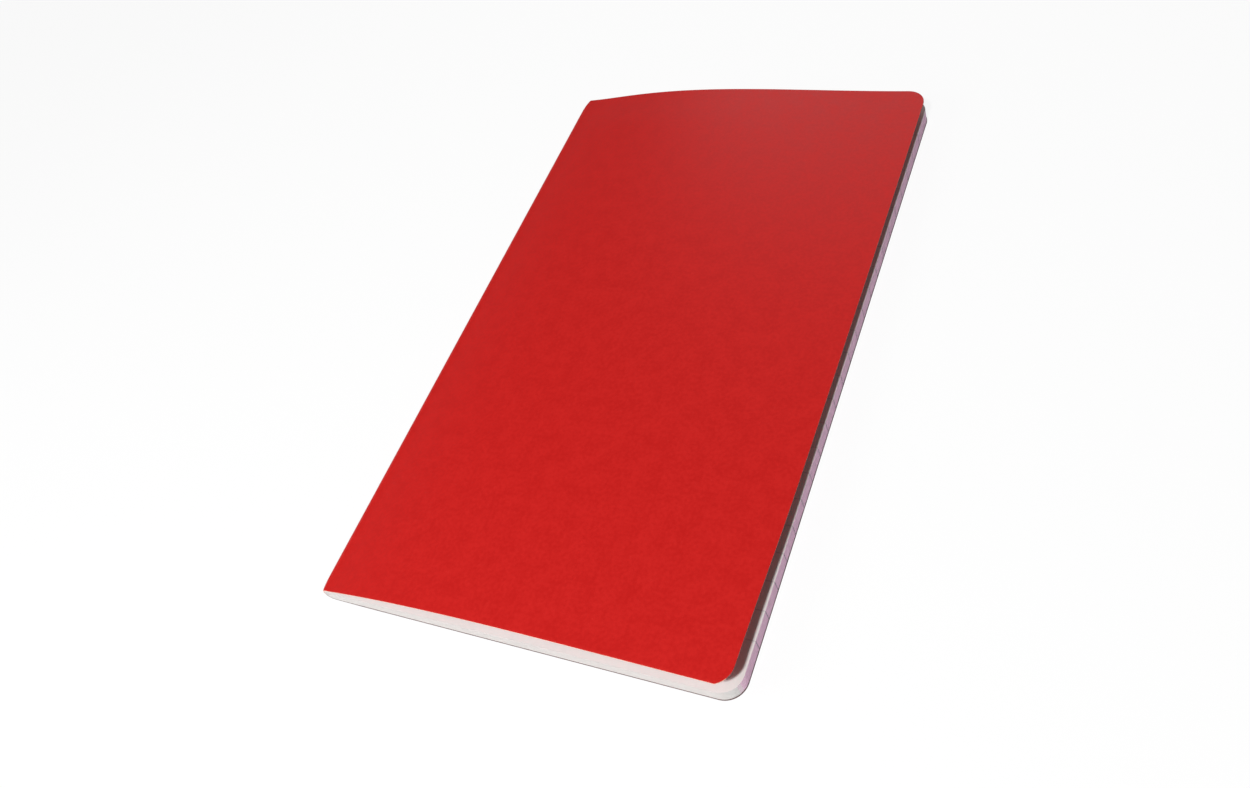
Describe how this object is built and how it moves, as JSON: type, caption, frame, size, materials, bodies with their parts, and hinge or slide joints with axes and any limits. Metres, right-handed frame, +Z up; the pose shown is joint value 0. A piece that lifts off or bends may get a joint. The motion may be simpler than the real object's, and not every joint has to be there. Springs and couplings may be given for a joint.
{
  "type": "notebook",
  "caption": "Slim ruled notebook: a red card cover wrapped round nested folded sheets, wire staples in the fold, rounded fore-edge corners, and a front cover sprung slightly open.",
  "frame": {"origin": "on the surface the notebook lies on, under the middle of the closed notebook", "axes": "+X from the spine to the fore edge, +Y from the tail to the head, +Z up through the front cover"},
  "size_m": [0.1301, 0.21, 0.0121],
  "materials": {
    "cover_card": "uncoated card, red through, fine mottle",
    "paper": "smooth off-white writing paper with pale grey 8 mm ruling",
    "staple_wire": "plain stitching wire"
  },
  "bodies": {
    "root": {"back_cover": "cover_card", "sheet_16_back_leaf": "paper"},
    "spine": {"cover_spine": "cover_card", "sheet_01_fold": "paper", "sheet_02_fold": "paper", "sheet_03_fold": "paper", "sheet_04_fold": "paper", "sheet_05_fold": "paper", "sheet_06_fold": "paper", "sheet_07_fold": "paper", "sheet_08_fold": "paper", "sheet_09_fold": "paper", "sheet_10_fold": "paper", "sheet_11_fold": "paper", "sheet_12_fold": "paper", "sheet_13_fold": "paper", "sheet_14_fold": "paper", "sheet_15_fold": "paper", "sheet_16_fold": "paper", "staple_tail": "staple_wire", "staple_head": "staple_wire"},
    "front_cover": {"front_cover": "cover_card"},
    "front_leaf_01": {"sheet_01_front_leaf": "paper"},
    "front_leaf_02": {"sheet_02_front_leaf": "paper"},
    "front_leaf_03": {"sheet_03_front_leaf": "paper"},
    "front_leaf_04": {"sheet_04_front_leaf": "paper"},
    "front_leaf_05": {"sheet_05_front_leaf": "paper"},
    "front_leaf_06": {"sheet_06_front_leaf": "paper"},
    "front_leaf_07": {"sheet_07_front_leaf": "paper"},
    "front_leaf_08": {"sheet_08_front_leaf": "paper"},
    "front_leaf_09": {"sheet_09_front_leaf": "paper"},
    "front_leaf_10": {"sheet_10_front_leaf": "paper"},
    "front_leaf_11": {"sheet_11_front_leaf": "paper"},
    "front_leaf_12": {"sheet_12_front_leaf": "paper"},
    "front_leaf_13": {"sheet_13_front_leaf": "paper"},
    "front_leaf_14": {"sheet_14_front_leaf": "paper"},
    "front_leaf_15": {"sheet_15_front_leaf": "paper"},
    "front_leaf_16": {"sheet_16_front_leaf": "paper"},
    "back_leaf_01": {"sheet_01_back_leaf": "paper"},
    "back_leaf_02": {"sheet_02_back_leaf": "paper"},
    "back_leaf_03": {"sheet_03_back_leaf": "paper"},
    "back_leaf_04": {"sheet_04_back_leaf": "paper"},
    "back_leaf_05": {"sheet_05_back_leaf": "paper"},
    "back_leaf_06": {"sheet_06_back_leaf": "paper"},
    "back_leaf_07": {"sheet_07_back_leaf": "paper"},
    "back_leaf_08": {"sheet_08_back_leaf": "paper"},
    "back_leaf_09": {"sheet_09_back_leaf": "paper"},
    "back_leaf_10": {"sheet_10_back_leaf": "paper"},
    "back_leaf_11": {"sheet_11_back_leaf": "paper"},
    "back_leaf_12": {"sheet_12_back_leaf": "paper"},
    "back_leaf_13": {"sheet_13_back_leaf": "paper"},
    "back_leaf_14": {"sheet_14_back_leaf": "paper"},
    "back_leaf_15": {"sheet_15_back_leaf": "paper"}
  },
  "joints": [
    {"name": "front_cover_hinge", "type": "hinge", "parent": "root", "child": "front_cover", "pos_m": [-0.06224, 0, 0.00276], "axis": [0, -1, 0], "range_deg": [0, 169], "deforming": ["cover_spine", "sheet_01_fold", "sheet_02_fold", "sheet_03_fold", "sheet_04_fold", "sheet_05_fold", "sheet_06_fold", "sheet_07_fold", "sheet_08_fold", "sheet_09_fold", "sheet_10_fold", "sheet_11_fold", "sheet_12_fold", "sheet_13_fold", "sheet_14_fold", "sheet_15_fold", "sheet_16_fold"]},
    {"name": "spine_bend", "type": "hinge", "parent": "root", "child": "spine", "pos_m": [-0.06224, 0, 0.00276], "axis": [0, -1, 0], "range_deg": [0, 84.51]},
    {"name": "front_leaf_01_turn", "type": "hinge", "parent": "root", "child": "front_leaf_01", "pos_m": [-0.06224, 0, 0.00276], "axis": [0, -1, 0], "range_deg": [0, 160.56]},
    {"name": "front_leaf_02_turn", "type": "hinge", "parent": "root", "child": "front_leaf_02", "pos_m": [-0.06224, 0, 0.00276], "axis": [0, -1, 0], "range_deg": [0, 161.07]},
    {"name": "front_leaf_03_turn", "type": "hinge", "parent": "root", "child": "front_leaf_03", "pos_m": [-0.06224, 0, 0.00276], "axis": [0, -1, 0], "range_deg": [0, 161.57]},
    {"name": "front_leaf_04_turn", "type": "hinge", "parent": "root", "child": "front_leaf_04", "pos_m": [-0.06224, 0, 0.00276], "axis": [0, -1, 0], "range_deg": [0, 162.08]},
    {"name": "front_leaf_05_turn", "type": "hinge", "parent": "root", "child": "front_leaf_05", "pos_m": [-0.06224, 0, 0.00276], "axis": [0, -1, 0], "range_deg": [0, 162.59]},
    {"name": "front_leaf_06_turn", "type": "hinge", "parent": "root", "child": "front_leaf_06", "pos_m": [-0.06224, 0, 0.00276], "axis": [0, -1, 0], "range_deg": [0, 163.09]},
    {"name": "front_leaf_07_turn", "type": "hinge", "parent": "root", "child": "front_leaf_07", "pos_m": [-0.06224, 0, 0.00276], "axis": [0, -1, 0], "range_deg": [0, 163.6]},
    {"name": "front_leaf_08_turn", "type": "hinge", "parent": "root", "child": "front_leaf_08", "pos_m": [-0.06224, 0, 0.00276], "axis": [0, -1, 0], "range_deg": [0, 164.11]},
    {"name": "front_leaf_09_turn", "type": "hinge", "parent": "root", "child": "front_leaf_09", "pos_m": [-0.06224, 0, 0.00276], "axis": [0, -1, 0], "range_deg": [0, 164.62]},
    {"name": "front_leaf_10_turn", "type": "hinge", "parent": "root", "child": "front_leaf_10", "pos_m": [-0.06224, 0, 0.00276], "axis": [0, -1, 0], "range_deg": [0, 165.12]},
    {"name": "front_leaf_11_turn", "type": "hinge", "parent": "root", "child": "front_leaf_11", "pos_m": [-0.06224, 0, 0.00276], "axis": [0, -1, 0], "range_deg": [0, 165.63]},
    {"name": "front_leaf_12_turn", "type": "hinge", "parent": "root", "child": "front_leaf_12", "pos_m": [-0.06224, 0, 0.00276], "axis": [0, -1, 0], "range_deg": [0, 166.14]},
    {"name": "front_leaf_13_turn", "type": "hinge", "parent": "root", "child": "front_leaf_13", "pos_m": [-0.06224, 0, 0.00276], "axis": [0, -1, 0], "range_deg": [0, 166.64]},
    {"name": "front_leaf_14_turn", "type": "hinge", "parent": "root", "child": "front_leaf_14", "pos_m": [-0.06224, 0, 0.00276], "axis": [0, -1, 0], "range_deg": [0, 167.15]},
    {"name": "front_leaf_15_turn", "type": "hinge", "parent": "root", "child": "front_leaf_15", "pos_m": [-0.06224, 0, 0.00276], "axis": [0, -1, 0], "range_deg": [0, 167.66]},
    {"name": "front_leaf_16_turn", "type": "hinge", "parent": "root", "child": "front_leaf_16", "pos_m": [-0.06224, 0, 0.00276], "axis": [0, -1, 0], "range_deg": [0, 168.16]},
    {"name": "back_leaf_01_lift", "type": "hinge", "parent": "root", "child": "back_leaf_01", "pos_m": [-0.06224, 0, 0.00276], "axis": [0, -1, 0], "range_deg": [0, 5.08]},
    {"name": "back_leaf_02_lift", "type": "hinge", "parent": "root", "child": "back_leaf_02", "pos_m": [-0.06224, 0, 0.00276], "axis": [0, -1, 0], "range_deg": [0, 4.74]},
    {"name": "back_leaf_03_lift", "type": "hinge", "parent": "root", "child": "back_leaf_03", "pos_m": [-0.06224, 0, 0.00276], "axis": [0, -1, 0], "range_deg": [0, 4.4]},
    {"name": "back_leaf_04_lift", "type": "hinge", "parent": "root", "child": "back_leaf_04", "pos_m": [-0.06224, 0, 0.00276], "axis": [0, -1, 0], "range_deg": [0, 4.07]},
    {"name": "back_leaf_05_lift", "type": "hinge", "parent": "root", "child": "back_leaf_05", "pos_m": [-0.06224, 0, 0.00276], "axis": [0, -1, 0], "range_deg": [0, 3.73]},
    {"name": "back_leaf_06_lift", "type": "hinge", "parent": "root", "child": "back_leaf_06", "pos_m": [-0.06224, 0, 0.00276], "axis": [0, -1, 0], "range_deg": [0, 3.39]},
    {"name": "back_leaf_07_lift", "type": "hinge", "parent": "root", "child": "back_leaf_07", "pos_m": [-0.06224, 0, 0.00276], "axis": [0, -1, 0], "range_deg": [0, 3.05]},
    {"name": "back_leaf_08_lift", "type": "hinge", "parent": "root", "child": "back_leaf_08", "pos_m": [-0.06224, 0, 0.00276], "axis": [0, -1, 0], "range_deg": [0, 2.71]},
    {"name": "back_leaf_09_lift", "type": "hinge", "parent": "root", "child": "back_leaf_09", "pos_m": [-0.06224, 0, 0.00276], "axis": [0, -1, 0], "range_deg": [0, 2.38]},
    {"name": "back_leaf_10_lift", "type": "hinge", "parent": "root", "child": "back_leaf_10", "pos_m": [-0.06224, 0, 0.00276], "axis": [0, -1, 0], "range_deg": [0, 2.04]},
    {"name": "back_leaf_11_lift", "type": "hinge", "parent": "root", "child": "back_leaf_11", "pos_m": [-0.06224, 0, 0.00276], "axis": [0, -1, 0], "range_deg": [0, 1.7]},
    {"name": "back_leaf_12_lift", "type": "hinge", "parent": "root", "child": "back_leaf_12", "pos_m": [-0.06224, 0, 0.00276], "axis": [0, -1, 0], "range_deg": [0, 1.36]},
    {"name": "back_leaf_13_lift", "type": "hinge", "parent": "root", "child": "back_leaf_13", "pos_m": [-0.06224, 0, 0.00276], "axis": [0, -1, 0], "range_deg": [0, 1.02]},
    {"name": "back_leaf_14_lift", "type": "hinge", "parent": "root", "child": "back_leaf_14", "pos_m": [-0.06224, 0, 0.00276], "axis": [0, -1, 0], "range_deg": [0, 0.69]},
    {"name": "back_leaf_15_lift", "type": "hinge", "parent": "root", "child": "back_leaf_15", "pos_m": [-0.06224, 0, 0.00276], "axis": [0, -1, 0], "range_deg": [0, 0.35]}
  ],
  "couplings": [
    {"joint": "spine_bend", "follows": "front_cover_hinge", "ratio": 0.5},
    {"joint": "front_leaf_01_turn", "follows": "front_cover_hinge", "ratio": 0.95},
    {"joint": "front_leaf_02_turn", "follows": "front_cover_hinge", "ratio": 0.953},
    {"joint": "front_leaf_03_turn", "follows": "front_cover_hinge", "ratio": 0.956},
    {"joint": "front_leaf_04_turn", "follows": "front_cover_hinge", "ratio": 0.959},
    {"joint": "front_leaf_05_turn", "follows": "front_cover_hinge", "ratio": 0.962},
    {"joint": "front_leaf_06_turn", "follows": "front_cover_hinge", "ratio": 0.965},
    {"joint": "front_leaf_07_turn", "follows": "front_cover_hinge", "ratio": 0.968},
    {"joint": "front_leaf_08_turn", "follows": "front_cover_hinge", "ratio": 0.971},
    {"joint": "front_leaf_09_turn", "follows": "front_cover_hinge", "ratio": 0.974},
    {"joint": "front_leaf_10_turn", "follows": "front_cover_hinge", "ratio": 0.977},
    {"joint": "front_leaf_11_turn", "follows": "front_cover_hinge", "ratio": 0.98},
    {"joint": "front_leaf_12_turn", "follows": "front_cover_hinge", "ratio": 0.983},
    {"joint": "front_leaf_13_turn", "follows": "front_cover_hinge", "ratio": 0.986},
    {"joint": "front_leaf_14_turn", "follows": "front_cover_hinge", "ratio": 0.989},
    {"joint": "front_leaf_15_turn", "follows": "front_cover_hinge", "ratio": 0.992},
    {"joint": "front_leaf_16_turn", "follows": "front_cover_hinge", "ratio": 0.995},
    {"joint": "back_leaf_01_lift", "follows": "front_cover_hinge", "ratio": 0.03},
    {"joint": "back_leaf_02_lift", "follows": "front_cover_hinge", "ratio": 0.028},
    {"joint": "back_leaf_03_lift", "follows": "front_cover_hinge", "ratio": 0.026},
    {"joint": "back_leaf_04_lift", "follows": "front_cover_hinge", "ratio": 0.024},
    {"joint": "back_leaf_05_lift", "follows": "front_cover_hinge", "ratio": 0.022},
    {"joint": "back_leaf_06_lift", "follows": "front_cover_hinge", "ratio": 0.02},
    {"joint": "back_leaf_07_lift", "follows": "front_cover_hinge", "ratio": 0.018},
    {"joint": "back_leaf_08_lift", "follows": "front_cover_hinge", "ratio": 0.016},
    {"joint": "back_leaf_09_lift", "follows": "front_cover_hinge", "ratio": 0.014},
    {"joint": "back_leaf_10_lift", "follows": "front_cover_hinge", "ratio": 0.012},
    {"joint": "back_leaf_11_lift", "follows": "front_cover_hinge", "ratio": 0.01},
    {"joint": "back_leaf_12_lift", "follows": "front_cover_hinge", "ratio": 0.008},
    {"joint": "back_leaf_13_lift", "follows": "front_cover_hinge", "ratio": 0.006},
    {"joint": "back_leaf_14_lift", "follows": "front_cover_hinge", "ratio": 0.004},
    {"joint": "back_leaf_15_lift", "follows": "front_cover_hinge", "ratio": 0.002}
  ]
}
